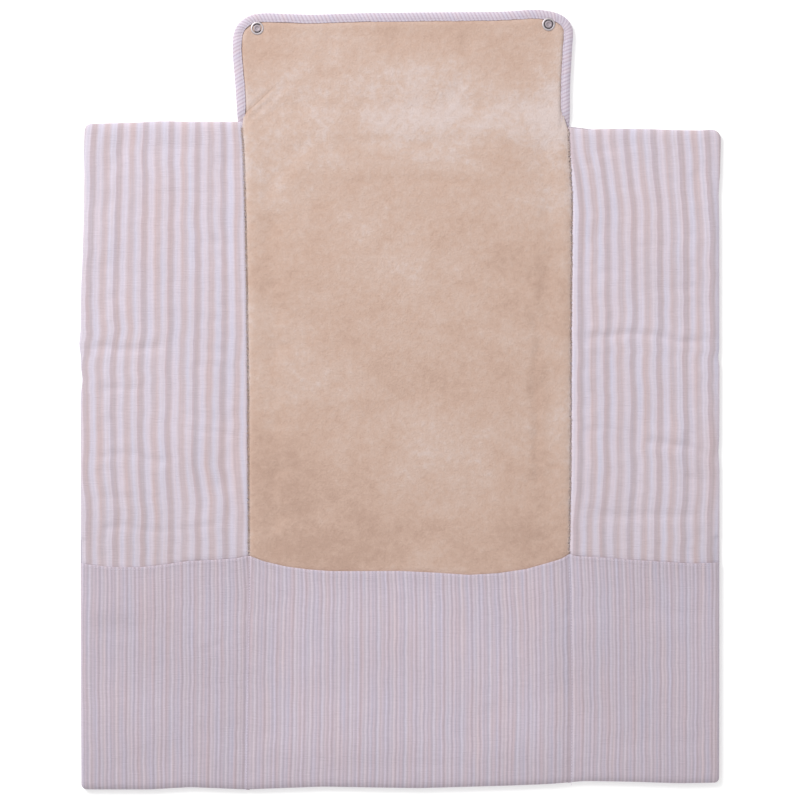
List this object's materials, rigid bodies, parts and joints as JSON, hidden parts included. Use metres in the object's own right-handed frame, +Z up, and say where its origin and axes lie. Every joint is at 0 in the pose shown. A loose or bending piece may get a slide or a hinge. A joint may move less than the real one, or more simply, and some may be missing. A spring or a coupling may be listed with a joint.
{
  "type": "changing pad",
  "caption": "Foldable padded changing pad with a soft pile centre, striped fold-in wings, a row of open pockets and a bound closing flap with press studs.",
  "frame": {"origin": "on the resting surface, under the centre of the open pad's bounding box", "axes": "+X to the right across the wings with the face up, +Y from the pocket row towards the closing flap, +Z up out of the face"},
  "size_m": [0.6144, 0.7488, 0.0086],
  "materials": {
    "pile": "short soft pile, matte, with brushed mottling",
    "wide_stripe": "light cotton weave with woven lengthwise stripes in white and beige pink",
    "fine_stripe": "cotton weave with fine lengthwise stripes in off-white and mauve grey",
    "binding": "cotton tape, fine stripes running across it",
    "wadding": "lofty polyester wadding",
    "snap_metal": "nickel-plated press stud, satin"
  },
  "bodies": {
    "centre_upper": {"plush_upper": "pile", "padding_upper": "wadding", "backing_upper": "fine_stripe"},
    "centre_middle": {"plush_middle": "pile", "padding_middle": "wadding", "backing_middle": "fine_stripe", "left_snap_stud": "snap_metal", "right_snap_stud": "snap_metal", "left_stud_rivet": "snap_metal", "right_stud_rivet": "snap_metal"},
    "centre_lower": {"plush_lower": "pile", "centre_padding_lower": "wadding", "centre_backing_lower": "fine_stripe", "centre_pocket_front": "fine_stripe"},
    "flap": {"flap_plush": "pile", "flap_padding": "wadding", "flap_backing": "fine_stripe", "flap_binding": "binding", "left_snap_socket": "snap_metal", "right_snap_socket": "snap_metal", "left_snap_cap": "snap_metal", "right_snap_cap": "snap_metal"},
    "left_upper": {"left_cover_upper": "wide_stripe", "left_padding_upper": "wadding", "left_backing_upper": "fine_stripe"},
    "left_middle": {"left_cover_middle": "wide_stripe", "left_padding_middle": "wadding", "left_backing_middle": "fine_stripe"},
    "left_lower": {"left_lining_lower": "wide_stripe", "left_padding_lower": "wadding", "left_backing_lower": "fine_stripe", "left_pocket_front": "fine_stripe"},
    "right_upper": {"right_cover_upper": "wide_stripe", "right_padding_upper": "wadding", "right_backing_upper": "fine_stripe"},
    "right_middle": {"right_cover_middle": "wide_stripe", "right_padding_middle": "wadding", "right_backing_middle": "fine_stripe"},
    "right_lower": {"right_lining_lower": "wide_stripe", "right_padding_lower": "wadding", "right_backing_lower": "fine_stripe", "right_pocket_front": "fine_stripe"}
  },
  "joints": [
    {"name": "flap_fold", "type": "hinge", "parent": "centre_upper", "child": "flap", "pos_m": [0.0084, 0.2654, 0.0338], "axis": [1, 0, 0], "range_deg": [0, 179.5]},
    {"name": "mid_fold", "type": "hinge", "parent": "centre_upper", "child": "centre_middle", "pos_m": [0.0084, 0.0533, 0.0286], "axis": [-1, 0, 0], "range_deg": [0, 179.5]},
    {"name": "pocket_fold", "type": "hinge", "parent": "centre_middle", "child": "centre_lower", "pos_m": [0.0084, -0.1589, 0.0183], "axis": [-1, 0, 0], "range_deg": [0, 179.5]},
    {"name": "left_wing_fold", "type": "hinge", "parent": "centre_upper", "child": "left_upper", "pos_m": [-0.1459, 0.15935, 0.0077], "axis": [0, 1, 0], "range_deg": [0, 179.5]},
    {"name": "left_wing_fold_middle", "type": "hinge", "parent": "centre_middle", "child": "left_middle", "pos_m": [-0.1459, -0.0528, 0.0077], "axis": [0, 1, 0], "range_deg": [0, 179.5]},
    {"name": "left_wing_fold_lower", "type": "hinge", "parent": "centre_lower", "child": "left_lower", "pos_m": [-0.1459, -0.26665, 0.0089], "axis": [0, 1, 0], "range_deg": [0, 179.5]},
    {"name": "right_wing_fold", "type": "hinge", "parent": "centre_upper", "child": "right_upper", "pos_m": [0.1627, 0.15935, 0.0077], "axis": [0, -1, 0], "range_deg": [0, 179.5]},
    {"name": "right_wing_fold_middle", "type": "hinge", "parent": "centre_middle", "child": "right_middle", "pos_m": [0.1627, -0.0528, 0.0077], "axis": [0, -1, 0], "range_deg": [0, 179.5]},
    {"name": "right_wing_fold_lower", "type": "hinge", "parent": "centre_lower", "child": "right_lower", "pos_m": [0.1627, -0.26665, 0.0089], "axis": [0, -1, 0], "range_deg": [0, 179.5]}
  ],
  "couplings": [
    {"joint": "left_wing_fold_middle", "follows": "left_wing_fold", "ratio": 1},
    {"joint": "left_wing_fold_lower", "follows": "left_wing_fold", "ratio": 1},
    {"joint": "right_wing_fold_middle", "follows": "right_wing_fold", "ratio": 1},
    {"joint": "right_wing_fold_lower", "follows": "right_wing_fold", "ratio": 1}
  ]
}
